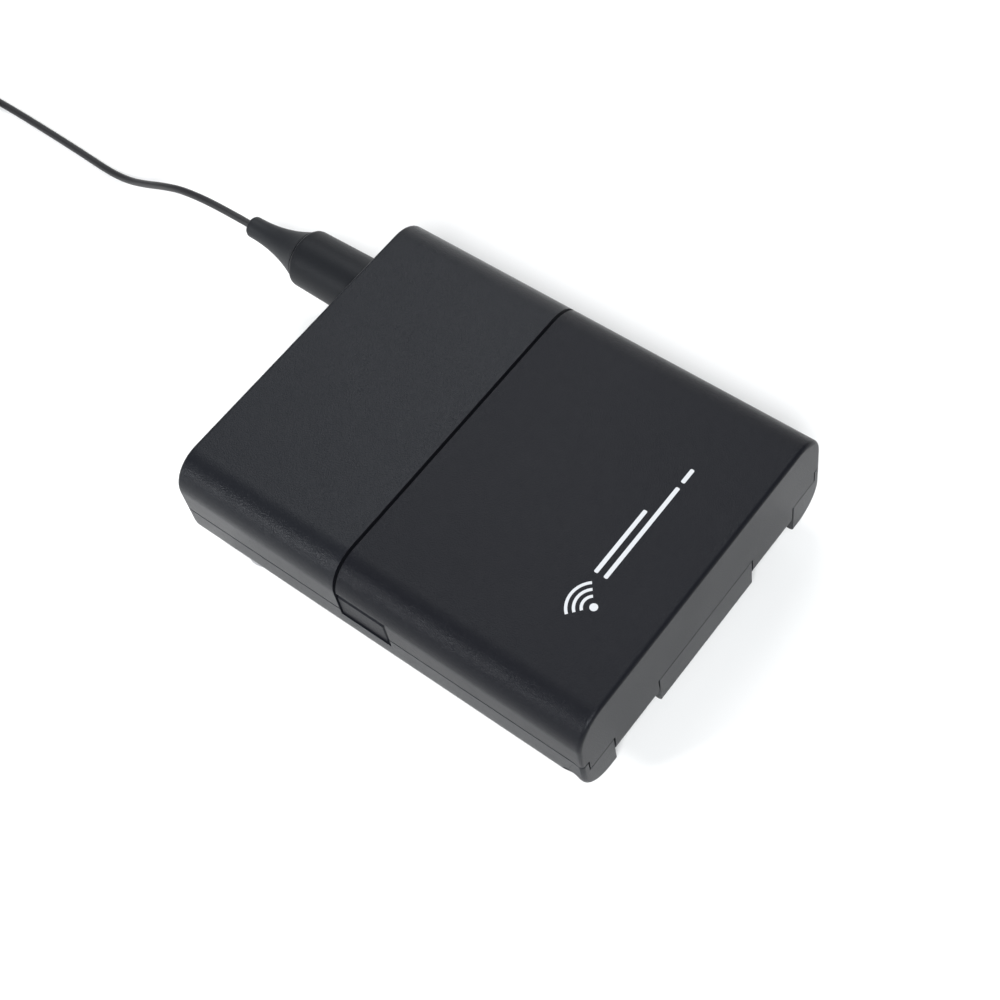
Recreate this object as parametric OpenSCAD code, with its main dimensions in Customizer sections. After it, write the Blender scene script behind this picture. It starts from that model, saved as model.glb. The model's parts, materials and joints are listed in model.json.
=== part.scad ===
// Wireless bodypack transmitter with a hinged battery cover, a wire belt clip
// and a clip-on microphone on a thin lead. It lies on its back on the clip.
// X is the width, +Y points at the connector end and +Z out of the front face.

/* [Case] */
// Width of the case
case_w = 71.6; // [70.8:0.2:72.4]
// Length of the case without the jack bush
case_l = 92; // [91:0.5:94]
// Depth of the case from rear face to front face
case_d = 23.6; // [23.4:0.1:24]
// Wall thickness of the shells
wall = 1.6; // [1.5:0.1:1.7]
// Radius of the long edges
edge_r = 6.8; // [6.4:0.1:7]
// Radius of the edges round both ends
end_r = 0.8; // [0.6:0.1:1]
// Distance from the connector end to the middle of the seam
seam_in = 38.5; // [38:0.1:39]
// Width of the seam between front shell and battery cover
seam_gap = 0.7; // [0.6:0.05:0.8]

/* [Battery cover] */
// Height of the cover's side edge above the rear face
cover_rise = 12.1; // [12:0.05:12.3]
// Height of the front shell's side edge above the rear face
shell_rise = 11.4; // [11.3:0.05:11.6]
// Height of the hinge axis above the rear face
hinge_rise = 5.1; // [5:0.05:5.2]
// Radius of the hinge knuckles
knuckle_r = 3.2; // [3.1:0.05:3.3]
// Radius of the hinge pins
pin_r = 1.1; // [1:0.05:1.15]

/* [Belt clip] */
// Diameter of the clip wire
wire_d = 2.2; // [2:0.1:2.2]
// Gap under the rear face that the clip takes up
clip_stand = 3.4; // [3.4:0.05:3.5]

/* [Cells] */
// Diameter of one AA cell
cell_d = 14.5; // [14.3:0.1:14.5]
// Length of one AA cell with its nub
cell_l = 50.2; // [49.5:0.1:50.2]

/* [Plug and lead] */
// Distance of the plug axis from the middle of the case
plug_x = 21.2; // [21:0.1:21.4]
// Height of the plug axis above the rear face
plug_rise = 12; // [11.9:0.1:12.1]
// How far the jack bush stands out of the case
bush_out = 3; // [2.9:0.1:3]
// Diameter of the lead
cord_d = 1.6; // [1.5:0.05:1.6]

/* [Hidden] */
$fn = 48;
e = 0.01;

// main planes
rear_z = clip_stand;
front_z = rear_z + case_d;
floor_z = rear_z + wall;
roof_z = front_z - wall;
half_w = case_w / 2;
inner_x = half_w - wall;
conn_y = (case_l - bush_out) / 2;
foot_y = conn_y - case_l;
seam_y = conn_y - seam_in;
shell_z = rear_z + shell_rise;
cover_z = rear_z + cover_rise;
part_gap = 0.35;

// cover hinge
hinge_y = foot_y + knuckle_r;
hinge_z = rear_z + hinge_rise;
sweep_r = norm([knuckle_r, knuckle_r]) + 0.03;
tongue_x = 14;
knuckle_in = tongue_x + 0.4;
knuckle_out = 27;
foot_x = knuckle_out + 0.4;
pin_end = 10.5;
head_x = 33.8;
cheek_x = 34.2;
cheek_r = cover_z - hinge_z + 0.05;
bulkhead_y = hinge_y + knuckle_r + 0.3;
charge_y = -41.5;

// jack, plug and lock ring
plug_z = rear_z + plug_rise;
bush_r = 4;
bush_y = conn_y + bush_out;
ring_y0 = conn_y + 0.6;
ring_y1 = ring_y0 + 18.6;
boot_y1 = ring_y1 + 15.3;
panel_y0 = conn_y - 2.8;
panel_y1 = conn_y - 0.6;

// circuit board
board_z = 10.6;
board_t = 1.2;
top_z = board_z + board_t;
board_x = 26.4;
board_y0 = -5.5;
board_y1 = 38.9;

// cells and tray
cell_r = cell_d / 2;
cell_z = 16;
cell_y = [-30.6, -15.5];
bay_x = 27.2;
plate_t = 0.4;
tray_x = bay_x + 1.4;
tray_y0 = -39.2;
tray_y1 = -6.8;
spring_l = 2 * (bay_x - plate_t) - cell_l;
cell_foot = spring_l - bay_x + plate_t;

// deck over the front of the board
deck_z = 19.2;
pair_xy = [-10, -0.6];

// latches
latch_y0 = -5;
latch_y1 = seam_y + 0.1;
latch_z0 = 12.9;
latch_z1 = 19.3;
window_z1 = 20.9;
latch_travel = 1.2;
latch_in = 33;
guide_x = 30;

// belt clip
wire_r = wire_d / 2;
clip_y = conn_y - 10;
clip_z = 2.2;
ear_x0 = 27.5;
ear_x1 = 31.3;
clip_route = [
  [30.6, 0, 2.2], [31.9, -0.1, 2.2], [32.9, -1, 2.1], [32.8, -2.6, 1.9], [31.7, -5.4, 1.5],
  [30.4, -9, 1.2], [29, -14, 1.08], [26.6, -24, 1.08], [24, -34, 1.08], [21, -44, 1.08], [19, -53, 1.08],
  [17.6, -60, 1.5], [16, -65, 2], [12.5, -68, 2.1], [6, -68.8, 2.1], [0, -69, 2.1]
];

// screw places
case_screw_xy = [[-29.4, 38.6], [29.4, 38.6], [-29.4, 9.8], [29.4, 9.8]];
board_screw_xy = [[-23, 2.5], [13, 2.5], [-23, 29], [13, 29]];

// end panel layout
power_x = -20;
mute_x = -3;
led_x = 10;

// lead: hand-laid route from the boot to the coil, then from the coil to the microphone
cord_r = cord_d / 2;
cord_route = [
  [21.2, 79, 15.4], [21.2, 84, 15.4], [21.2, 92, 15], [21.3, 100, 13.3], [21.5, 107, 10.2],
  [21.8, 114, 6.4], [22.2, 121, 3], [22.6, 128, 1.2], [23.1, 136, 0.8], [23.5, 145, 0.8],
  [23.8, 154, 0.8], [24, 163, 0.8], [24, 172, 0.9], [24, 180, 1.1]
];
tail_route = [
  [10, 194, 5.9], [6.5, 194, 5.9], [3, 193.9, 5.7], [-1, 193.4, 4.6], [-5.5, 192, 2.6],
  [-10, 189.4, 1.1], [-13.8, 185.6, 0.8], [-16.4, 181, 0.8], [-17.7, 176, 1.4],
  [-18, 170.5, 3.4], [-18, 167.5, 3.6], [-18, 164.5, 3.6]
];
coil_x = 10;
coil_y = 180;
coil_turn_r = 10;
coil_cols = 6;
coil_layers = 4;
tie_t = 0.3;

// microphone and its tie clip
mic_x = -18;
mic_z = 3.6;
mic_r = 2.8;
relief_y = 164.5;
mic_y1 = relief_y - 7;
mic_y0 = mic_y1 - 10;
jaw_y = mic_y0 + 4;

// ---------- helpers ----------

function unit(v) = v / norm(v);
function lerp(a, b, t) = a + (b - a) * t;

// Catmull-Rom point between b and c
function spline_at(a, b, c, d, t) =
  0.5 * ((2 * b) + (c - a) * t + (2 * a - 5 * b + 4 * c - d) * t * t
         + (3 * b - a - 3 * c + d) * t * t * t);

// smooth route through the points, with n steps between each pair
function smooth(p, n) = [
  for (i = [0 : len(p) - 2]) for (k = [0 : n - 1])
    spline_at(p[max(i - 1, 0)], p[i], p[i + 1], p[min(i + 2, len(p) - 1)], k / n),
  p[len(p) - 1]
];

// the route lifted to a least height
function lifted(p, low) = [for (q = p) [q[0], q[1], max(q[2], low)]];

// direction of the route at point i
function heading(p, i) = unit(p[min(i + 1, len(p) - 1)] - p[max(i - 1, 0)]);

function ring_at(c, dir, up, r, sides) =
  let (u = unit(cross(dir, up)), v = cross(u, dir))
  [for (k = [0 : sides - 1]) c + r * (cos(360 * k / sides) * u + sin(360 * k / sides) * v)];

// closed solid through a list of rings that all have the same number of points
module loft(rings) {
  n = len(rings[0]);
  last = len(rings) - 1;
  pts = [for (ring = rings) for (p = ring) p];
  sides = [for (i = [0 : last - 1]) for (k = [0 : n - 1])
    [i * n + k, i * n + (k + 1) % n, (i + 1) * n + (k + 1) % n, (i + 1) * n + k]];
  caps = [[for (k = [n - 1 : -1 : 0]) k], [for (k = [0 : n - 1]) last * n + k]];
  polyhedron(points = pts, faces = concat(sides, caps), convexity = 6);
}

// round rod along a route; up is a direction that the route never takes
module rod(route, r, sides, up = [0, 0, 1]) {
  loft([for (i = [0 : len(route) - 1]) ring_at(route[i], heading(route, i), up, r, sides)]);
}

// box between two corners
module block(a, b) {
  translate(a) cube(b - a);
}

// cylinder along X, Y or Z from one end coordinate to the other
module bar_x(x0, x1, y, z, r) {
  translate([x0, y, z]) rotate([0, 90, 0]) cylinder(h = x1 - x0, r = r);
}
module bar_y(y0, y1, x, z, r) {
  translate([x, y1, z]) rotate([90, 0, 0]) cylinder(h = y1 - y0, r = r);
}
module bar_z(z0, z1, x, y, r) {
  translate([x, y, z0]) cylinder(h = z1 - z0, r = r);
}

// solid of revolution about the plug axis; points are [radius, y]
module turned(points) {
  translate([plug_x, 0, plug_z]) rotate([-90, 0, 0]) rotate_extrude() polygon(points);
}

module both_sides() {
  children();
  mirror([1, 0, 0]) children();
}

// ---------- case form ----------

// outline of the case in XZ, drawn in by inset, at one y
function case_ring(inset, y, n = 10) =
  let (r = edge_r - inset, cx = half_w - edge_r, low = rear_z + edge_r, high = front_z - edge_r)
  [for (q = [0 : 3]) for (k = [0 : n])
    let (a = 90 * q + 90 * k / n, sx = (q == 0 || q == 3) ? 1 : -1, c = q < 2 ? high : low)
    [sx * cx + r * cos(a), y, c + r * sin(a)]];

// whole outer form with its rounded end edges
module case_form() {
  steps = 4;
  foot = [for (k = [0 : steps]) let (a = 90 * k / steps)
    case_ring(end_r * (1 - sin(a)), foot_y + end_r * (1 - cos(a)))];
  head = [for (k = [steps : -1 : 0]) let (a = 90 * k / steps)
    case_ring(end_r * (1 - sin(a)), conn_y - end_r * (1 - cos(a)))];
  loft(concat(foot, head));
}

// hollow of the case between two y planes
module case_hollow(y0, y1) {
  r = edge_r - wall;
  cx = half_w - edge_r;
  translate([0, y1, 0]) rotate([90, 0, 0]) linear_extrude(height = y1 - y0) union() {
    for (x = [-cx, cx]) for (z = [rear_z + edge_r, front_z - edge_r]) translate([x, z]) circle(r = r);
    translate([-cx, floor_z]) square([2 * cx, roof_z - floor_z]);
    translate([-inner_x, rear_z + edge_r]) square([2 * inner_x, case_d - 2 * edge_r]);
  }
}

// ---------- casings ----------

// the two feet and the tongue between the hinge knuckles
module foot_spans(z0, z1) {
  for (x = [[-half_w, -foot_x], [-tongue_x, tongue_x], [foot_x, half_w]])
    block([x[0], foot_y, z0], [x[1], hinge_y + 3.5, z1]);
}

module foot_blocks() {
  intersection() {
    case_form();
    union() {
      foot_spans(rear_z, hinge_z);
      intersection() {
        bar_x(-half_w, half_w, hinge_y, hinge_z, sweep_r - 0.15);
        foot_spans(hinge_z - e, hinge_z + 2 * knuckle_r);
      }
      // side walls of the feet, up to the parting line
      both_sides() intersection() {
        bar_x(cheek_x, half_w, hinge_y, hinge_z, cheek_r - 0.3);
        block([cheek_x, foot_y, hinge_z - e], [half_w, hinge_y + 3.5, cover_z - part_gap]);
      }
    }
  }
}

module rear_skin() {
  difference() {
    intersection() {
      case_form();
      union() {
        block([-half_w, bulkhead_y, rear_z], [half_w, conn_y, shell_z - part_gap]);
        block([-half_w, foot_y + wall + 0.3, rear_z], [half_w, seam_y, cover_z - part_gap]);
      }
    }
    case_hollow(bulkhead_y + 1.2, conn_y - wall);
    block([-inner_x, foot_y, floor_z], [inner_x, bulkhead_y, front_z]);
    // room for the cover's knuckles
    both_sides() block([tongue_x, foot_y - 1, rear_z - 1], [foot_x, hinge_y + 0.4, cover_z]);
    // window for the end panel
    block([-30, conn_y - wall - 1, rear_z + 3.6], [30, conn_y + 1, front_z]);
  }
}

module rear_shell() {
  lip_x = inner_x - 0.1;
  color([0.19, 0.195, 0.21]) difference() {
    union() {
      rear_skin();
      foot_blocks();
      // inner lip that closes the parting line of the front shell
      both_sides() {
        block([lip_x - 0.8, seam_y + 2, floor_z + 4], [lip_x, conn_y - 4, shell_z + 1.3]);
        block([lip_x - 0.8, seam_y + 2, floor_z + 4], [lip_x + 0.2, conn_y - 4, shell_z - 0.6]);
      }
      for (p = case_screw_xy) bar_z(rear_z + 1, 12, p[0], p[1], 2.6);
      for (p = board_screw_xy) bar_z(rear_z + 1, board_z, p[0], p[1], 2);
      // ears of the belt clip
      both_sides() {
        bar_x(ear_x0, ear_x1, clip_y, clip_z, 2.1);
        block([ear_x0, clip_y - 2.1, clip_z], [ear_x1, clip_y + 2.1, rear_z + 2]);
      }
    }
    both_sides() {
      // hinge pin bores and their counterbores
      bar_x(pin_end - 0.3, half_w + 1, hinge_y, hinge_z, pin_r + 0.03);
      bar_x(head_x - 0.1, half_w + 1, hinge_y, hinge_z, 1.95);
      // clip bores
      bar_x(ear_x0 - 1, ear_x1 + 1, clip_y, clip_z, wire_r + 0.06);
      // notch for the latch button
      block([inner_x - 2, latch_y0 - 0.4, latch_z0 - 0.12], [half_w + 1, seam_y + seam_gap / 2, cover_z + 1]);
    }
    for (p = case_screw_xy) {
      bar_z(rear_z - 1, 13, p[0], p[1], 1.1);
      bar_z(rear_z - 1, rear_z + 1.7, p[0], p[1], 2);
    }
    for (p = board_screw_xy) bar_z(board_z - 4, board_z + 1, p[0], p[1], 0.85);
    // seats of the charging contacts and of the rating plate
    for (x = [-7, 7]) bar_z(rear_z - 1, floor_z + 1, x, charge_y, 1.65);
    block([-15, -20, rear_z - 1], [15, 0, rear_z + 0.3]);
    // finger relief over the clip's free end
    bar_x(-9, 9, -35, rear_z - 4.2, 5);
  }
}

module front_shell() {
  y0 = seam_y + seam_gap / 2;
  color([0.165, 0.17, 0.185]) difference() {
    union() {
      difference() {
        intersection() {
          case_form();
          block([-half_w, y0, shell_z], [half_w, conn_y, front_z]);
        }
        case_hollow(y0 + 1.2, conn_y - wall);
        block([-30, conn_y - wall - 1, 0], [30, conn_y + 1, front_z - 3.8]);
      }
      // ledge under the edge of the battery cover
      block([-28.6, y0 - 3, roof_z - 1.3], [28.6, y0 + 1.1, roof_z - 0.15]);
      for (p = case_screw_xy) bar_z(12.15, roof_z + 0.5, p[0], p[1], 2.4);
    }
    for (p = case_screw_xy) bar_z(12, 19, p[0], p[1], 1.05);
  }
}

module end_panel() {
  color([0.13, 0.13, 0.14]) difference() {
    union() {
      block([-30.8, panel_y0, rear_z + 2.4], [30.8, panel_y0 + 1.1, front_z - 3]);
      block([-29.8, panel_y0 + 1, rear_z + 3.8], [29.8, panel_y1, front_z - 4]);
    }
    bar_y(panel_y0 - 1, conn_y, plug_x, plug_z, bush_r + 0.05);
    bar_y(panel_y0 - 1, conn_y, power_x, plug_z, 3.1);
    bar_y(panel_y0 - 1, conn_y, led_x, plug_z + 3.5, 1.25);
    block([mute_x - 2.6, panel_y0 - 1, plug_z - 1.5], [mute_x + 5.6, conn_y, plug_z + 1.5]);
    // dished surround of the power button
    bar_y(panel_y1 - 0.4, conn_y, power_x, plug_z, 4.4);
  }
}

// ---------- battery bay ----------

module battery_tray() {
  color([0.22, 0.22, 0.23]) difference() {
    union() {
      block([-tray_x, tray_y0, 7.3], [tray_x, tray_y1, 17.5]);
      for (x = [-24, 0, 24]) block([x - 1, tray_y0 + 2, floor_z + 0.05], [x + 1, tray_y1 - 2, 7.4]);
    }
    block([-bay_x, tray_y0 + 1.2, 13], [bay_x, tray_y1 - 1.2, 18]);
    for (y = cell_y) bar_x(-bay_x, bay_x, y, cell_z, cell_r + 0.15);
    // pockets of the contact plates
    both_sides() block([bay_x - plate_t - 0.05, cell_y[0] - 5.2, cell_z - 4.6], [bay_x, cell_y[1] + 5.2, 18]);
    // thumb gaps to lift the cells out
    for (y = cell_y) block([-6, y - 2.5, 7], [6, y + 2.5, 9]);
    block([-12, tray_y1 - 2, 14.5], [12, tray_y1 + 1, 18]);
  }
}

module control_deck() {
  y0 = tray_y1 + 0.3;
  y1 = seam_y - 0.6;
  color([0.2, 0.2, 0.21]) difference() {
    union() {
      block([-tray_x, y0, deck_z], [tray_x, y1, deck_z + 1.2]);
      // legs beside the board, standing on the floor of the rear shell
      for (x = [-tray_x, tray_x - 1.2]) block([x, y0, floor_z + 0.05], [x + 1.2, y1, deck_z + 0.1]);
      block([-tray_x, y0, top_z + 2.5], [tray_x, y0 + 1, deck_z + 0.1]);
    }
    bar_z(deck_z - 1, 22, pair_xy[0], pair_xy[1], 2.3);
    bar_z(deck_z + 0.8, 22, pair_xy[0], pair_xy[1], 3.2);
    // shallow plain panel that breaks up the deck
    block([4, y0 + 2.4, deck_z + 0.9], [22, y1 - 2.4, 21]);
  }
}

// one AA cell lying along X; way is the side of its nub
module cell(y, way) {
  nub = 1;
  translate([0, y, cell_z]) rotate([0, way * 90, 0]) union() {
    translate([0, 0, cell_foot]) cylinder(h = cell_l - nub, r = cell_r);
    translate([0, 0, cell_foot + 1]) cylinder(h = cell_l - 1, r = 2.75);
  }
}

module aa_cell_1() {
  color([0.12, 0.12, 0.13]) cell(cell_y[0], 1);
}

module aa_cell_2() {
  color([0.12, 0.12, 0.13]) cell(cell_y[1], -1);
}

// conical spring along X, from the plate at x0 towards the cell
function cone_route(x0, x1, y, turns) = [
  for (k = [0 : turns * 10]) let (t = k / (turns * 10), r = lerp(5, 3, t), a = 36 * k)
    [lerp(x0, x1, t), y + r * cos(a), cell_z + r * sin(a)]
];

module cell_springs() {
  reach = bay_x - plate_t - 0.4;
  color([0.75, 0.74, 0.7]) {
    rod(cone_route(-reach, -reach + spring_l - 0.8, cell_y[0], 3), 0.35, 6, [1, 0, 0]);
    rod(cone_route(reach, reach - spring_l + 0.8, cell_y[1], 3), 0.35, 6, [1, 0, 0]);
  }
}

module contact_link() {
  color([0.78, 0.74, 0.66]) difference() {
    block([bay_x - plate_t, cell_y[0] - 5, cell_z - 4.4], [bay_x - 0.02, cell_y[1] + 5, cell_z + 4.4]);
    block([bay_x - 1, cell_y[0] + 5.4, cell_z + 1.5], [bay_x + 1, cell_y[1] - 5.4, cell_z + 5]);
  }
}

module contact_pair() {
  color([0.78, 0.74, 0.66]) for (y = cell_y)
    block([-bay_x + 0.02, y - 5, cell_z - 4.4], [-bay_x + plate_t, y + 5, cell_z + 4.4]);
}

module hinge_pins() {
  color([0.72, 0.72, 0.72]) both_sides() {
    bar_x(pin_end, head_x + 0.1, hinge_y, hinge_z, pin_r);
    bar_x(head_x, head_x + 0.8, hinge_y, hinge_z, 1.85);
  }
}

// ---------- electronics ----------

module main_board() {
  color([0.05, 0.3, 0.16]) difference() {
    block([-board_x, board_y0, board_z], [board_x, board_y1, top_z]);
    for (p = board_screw_xy) bar_z(board_z - 1, top_z + 1, p[0], p[1], 1.1);
  }
}

module shield_can() {
  color([0.75, 0.76, 0.77]) difference() {
    block([-19, 10, top_z], [9, 31, top_z + 4]);
    block([-18.7, 10.3, top_z - 1], [8.7, 30.7, top_z + 3.7]);
    for (i = [0 : 6]) for (j = [0 : 3]) bar_z(top_z + 3, top_z + 5, -15 + 3.4 * i, 14 + 4.4 * j, 0.6);
  }
}

module board_parts() {
  color([0.08, 0.08, 0.09]) {
    block([-24.5, 12, top_z], [-20.5, 16, top_z + 1]);
    block([-25, 19, top_z], [-20.4, 25, top_z + 1.6]);
    block([11, 9.5, top_z], [17, 15.5, top_z + 0.9]);
    block([19.5, 9, top_z], [25, 14.5, top_z + 2.8]);
    for (i = [0 : 4]) block([11.2 + 2.6 * i, 18, top_z], [12.8 + 2.6 * i, 19, top_z + 0.6]);
    for (i = [0 : 2]) bar_z(top_z, top_z + 3, -2 + 5 * i, 0.8, 1.9);
    block([-17, -2.6, board_z - 2.6], [-3, 1.8, board_z]);
  }
}

// bent strip that stands along the side of the board
module antenna() {
  x = -26.2;
  color([0.82, 0.7, 0.45]) {
    block([x, 15, 17.6], [x + 0.4, 33, 21]);
    block([x, 15, 20.6], [x + 3.6, 33, 21]);
    for (y = [15, 19]) block([x, y, top_z], [x + 0.4, y + 1.2, 17.8]);
  }
}

// sprung leaves that carry the supply from the tray down to the board
module supply_leaves() {
  color([0.8, 0.7, 0.45]) for (x = [-24.6, -19.4]) {
    block([x, -5.3, top_z], [x + 1.6, -4.3, top_z + 0.4]);
    block([x, -5.3, top_z], [x + 1.6, -4.9, top_z + 0.6]);
    block([x, -5.3, top_z + 0.35], [x + 1.6, -2, top_z + 0.6]);
  }
}

module jack_bush() {
  threads = 5;
  color([0.7, 0.7, 0.71]) difference() {
    union() {
      bar_y(panel_y0 - 1.9, bush_y, plug_x, plug_z, bush_r);
      bar_y(panel_y0 - 1.3, panel_y0 - 0.05, plug_x, plug_z, 5.2);
    }
    bar_y(panel_y0 - 3, bush_y + 1, plug_x, plug_z, 1.85);
    // thread drawn as plain grooves
    for (i = [0 : threads - 1]) turned([
      [bush_r + 0.2, conn_y + 0.55 * i + 0.05], [bush_r - 0.22, conn_y + 0.55 * i + 0.3],
      [bush_r + 0.2, conn_y + 0.55 * i + 0.55]]);
  }
}

module jack_nut() {
  color([0.1, 0.1, 0.11]) difference() {
    bar_y(panel_y1 + 0.02, conn_y + 0.4, plug_x, plug_z, 5.5);
    bar_y(panel_y1 - 1, conn_y + 1, plug_x, plug_z, bush_r + 0.04);
    for (a = [0 : 90 : 270]) translate([plug_x, 0, plug_z]) rotate([0, a, 0])
      block([4.6, conn_y - 0.3, -0.6], [6, conn_y + 1, 0.6]);
  }
}

module jack_body() {
  color([0.07, 0.07, 0.08]) difference() {
    block([plug_x - 4.3, 28, top_z], [plug_x + 4.3, panel_y0 - 1.95, plug_z + 4]);
    bar_y(31, 41, plug_x, plug_z, 1.9);
    for (y = [29.4, 33.4, 36]) block([plug_x - 5, y, top_z - 1], [plug_x - 3.9, y + 1, plug_z + 2]);
  }
}

module jack_contacts() {
  color([0.82, 0.7, 0.45]) for (y = [29.5, 33.5, 36.1]) {
    block([plug_x - 4.25, y, top_z], [plug_x - 3.95, y + 0.8, plug_z + 1.8]);
    block([plug_x - 5.4, y, top_z], [plug_x - 4.2, y + 0.8, top_z + 0.25]);
  }
}

module mute_switch() {
  color([0.72, 0.72, 0.73]) difference() {
    block([mute_x - 3, 34.4, top_z], [mute_x + 6, 38.6, plug_z + 2]);
    block([mute_x - 2, 37.6, plug_z - 0.9], [mute_x + 5, 39, plug_z + 0.9]);
  }
}

module mute_slider() {
  color([0.1, 0.1, 0.11]) translate([mute_x, 0, plug_z]) difference() {
    union() {
      block([-2.3, panel_y0 - 1.1, -1.3], [2.3, conn_y + 0.5, 1.3]);
      block([-3.4, panel_y0 - 1.1, -2.2], [3.4, panel_y0 - 0.2, 2.2]);
      block([-0.6, 38, -0.6], [0.6, panel_y0 - 1, 0.6]);
    }
    for (x = [-1.4, 0, 1.4]) block([x - 0.25, conn_y + 0.15, -2], [x + 0.25, conn_y + 1, 2]);
  }
}

module power_switch() {
  color([0.72, 0.72, 0.73]) {
    block([power_x - 3, 33, top_z], [power_x + 3, 37, plug_z + 2.6]);
    bar_y(36.9, 37.8, power_x, plug_z, 1.2);
  }
}

module power_button() {
  color([0.1, 0.1, 0.11]) difference() {
    union() {
      bar_y(panel_y0 - 1, conn_y + 0.3, power_x, plug_z, 3);
      bar_y(panel_y0 - 1, panel_y0 - 0.2, power_x, plug_z, 3.8);
      bar_y(38.4, panel_y0 - 0.9, power_x, plug_z, 1);
    }
    // dished cap
    translate([power_x, conn_y + 9.1, plug_z]) sphere(r = 9.1);
  }
}

module pair_switch() {
  color([0.72, 0.72, 0.73]) translate([pair_xy[0], pair_xy[1], 0]) union() {
    block([-3, -3, top_z], [3, 3, 15.3]);
    bar_z(15.2, 16.3, 0, 0, 1.7);
  }
}

module pair_button() {
  color([0.1, 0.1, 0.11]) translate([pair_xy[0], pair_xy[1], 0]) union() {
    bar_z(17, 20.9, 0, 0, 2.2);
    bar_z(17, 18.9, 0, 0, 2.8);
  }
}

module status_led() {
  color([0.7, 0.75, 0.7]) block([led_x - 1, 36, top_z], [led_x + 1, 37.2, top_z + 1.4]);
}

// bent light guide from the LED to the end panel
module light_pipe() {
  color([0.85, 0.88, 0.88]) {
    bar_y(36.6, panel_y1 - 0.05, led_x, plug_z + 3.5, 1.15);
    bar_z(top_z + 1.5, plug_z + 3.5, led_x, 36.6, 1.15);
    translate([led_x, 36.6, plug_z + 3.5]) sphere(r = 1.15);
    bar_y(39.6, panel_y0 - 0.05, led_x, plug_z + 3.5, 1.9);
  }
}

module charge_contacts() {
  color([0.85, 0.72, 0.42]) for (x = [-7, 7]) {
    bar_z(rear_z + 0.1, floor_z + 0.8, x, charge_y, 1.6);
  }
}

module case_screws() {
  color([0.25, 0.25, 0.26]) for (p = case_screw_xy) difference() {
    union() {
      bar_z(rear_z + 0.3, rear_z + 1.65, p[0], p[1], 1.85);
      bar_z(rear_z + 1.5, 18, p[0], p[1], 1);
    }
    for (a = [0, 90]) translate([p[0], p[1], rear_z + 0.3]) rotate(a) cube([2, 0.4, 1.4], center = true);
  }
}

module board_screws() {
  color([0.72, 0.72, 0.73]) for (p = board_screw_xy) difference() {
    union() {
      bar_z(top_z + 0.02, top_z + 1.1, p[0], p[1], 1.6);
      bar_z(board_z - 3.6, top_z + 0.5, p[0], p[1], 0.8);
    }
    for (a = [0, 90]) translate([p[0], p[1], top_z + 1.1]) rotate(a) cube([2, 0.35, 1], center = true);
  }
}

module rating_plate() {
  color([0.62, 0.63, 0.64]) block([-14.8, -19.8, rear_z + 0.05], [14.8, -0.2, rear_z + 0.3]);
}

// ---------- battery cover ----------

module battery_cover() {
  y1 = seam_y - seam_gap / 2;
  color([0.15, 0.155, 0.17]) difference() {
    union() {
      difference() {
        intersection() {
          case_form();
          union() {
            block([-half_w, foot_y + wall, cover_z], [half_w, y1, front_z]);
            block([-half_w, foot_y, hinge_z], [half_w, foot_y + wall + e, front_z]);
          }
        }
        case_hollow(foot_y + wall, y1 + 1);
        // the feet and the tongue of the rear shell pass under the end wall
        both_sides() bar_x(knuckle_out, half_w + 1, hinge_y, hinge_z, sweep_r);
        both_sides() bar_x(cheek_x - 0.3, half_w + 1, hinge_y, hinge_z, cheek_r);
        bar_x(-knuckle_in, knuckle_in, hinge_y, hinge_z, sweep_r);
      }
      both_sides() {
        bar_x(knuckle_in, knuckle_out, hinge_y, hinge_z, knuckle_r);
        // seat of the latch spring and its brace
        block([guide_x - 1, latch_y0 + 0.6, 15.2], [guide_x, latch_y1 - 0.6, roof_z + 0.3]);
        block([guide_x - 2.6, -0.4, 21.2], [guide_x - 0.9, 0.6, roof_z + 0.3]);
        // stiffening rib
        block([23.5, -38, roof_z - 1], [24.5, 0, roof_z + 0.3]);
      }
    }
    both_sides() {
      bar_x(knuckle_in - 1, knuckle_out + 1, hinge_y, hinge_z, pin_r + 0.06);
      // window of the latch button, open at the seam
      block([inner_x - 0.5, latch_y0 - 0.5, cover_z - 1], [half_w + 1, y1 + 1, window_z1]);
    }
  }
}

module cover_pad() {
  color([0.2, 0.2, 0.2]) block([-20, -36, cell_z + cell_r + 0.2], [20, -10, roof_z - 0.02]);
}

// latch button with its retaining flange and its catch arm, for the -X side
module latch() {
  face_x = -half_w + 0.3;
  back_x = -inner_x + 0.15;
  c = 0.5;
  difference() {
    union() {
      block([face_x, latch_y0, latch_z0], [-latch_in - 0.5, latch_y1, latch_z1]);
      block([back_x, latch_y0 - 1.6, cover_z + 0.6], [-latch_in, latch_y1 - 0.2, window_z1 - 0.1]);
      block([back_x, latch_y0 + 1.2, latch_z0 - 2.2], [-latch_in, latch_y1 - 1.2, latch_z1]);
    }
    // bevels along the top and the far end of the button
    translate([face_x, 0, latch_z1]) rotate([0, 45, 0]) cube([2 * c, 60, 2 * c], center = true);
    translate([face_x, latch_y0, 0]) rotate([0, 0, 45]) cube([2 * c, 2 * c, 60], center = true);
    // spring cup
    bar_x(-latch_in - 0.5, -latch_in + 1, 0.1, 18, 2.1);
  }
}

module latch_left() {
  color([0.16, 0.165, 0.18]) latch();
}

module latch_right() {
  color([0.16, 0.165, 0.18]) mirror([1, 0, 0]) latch();
}

module latch_springs() {
  turns = 4;
  x0 = guide_x + 0.35;
  x1 = latch_in + 0.5 - latch_travel - 0.4;
  route = [for (k = [0 : turns * 10]) let (t = k / (turns * 10))
    [lerp(x0, x1, t), 0.1 + 1.5 * cos(36 * k), 18 + 1.5 * sin(36 * k)]];
  color([0.7, 0.7, 0.7]) both_sides() rod(route, 0.22, 6, [1, 0, 0]);
}

// ---------- belt clip ----------

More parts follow.
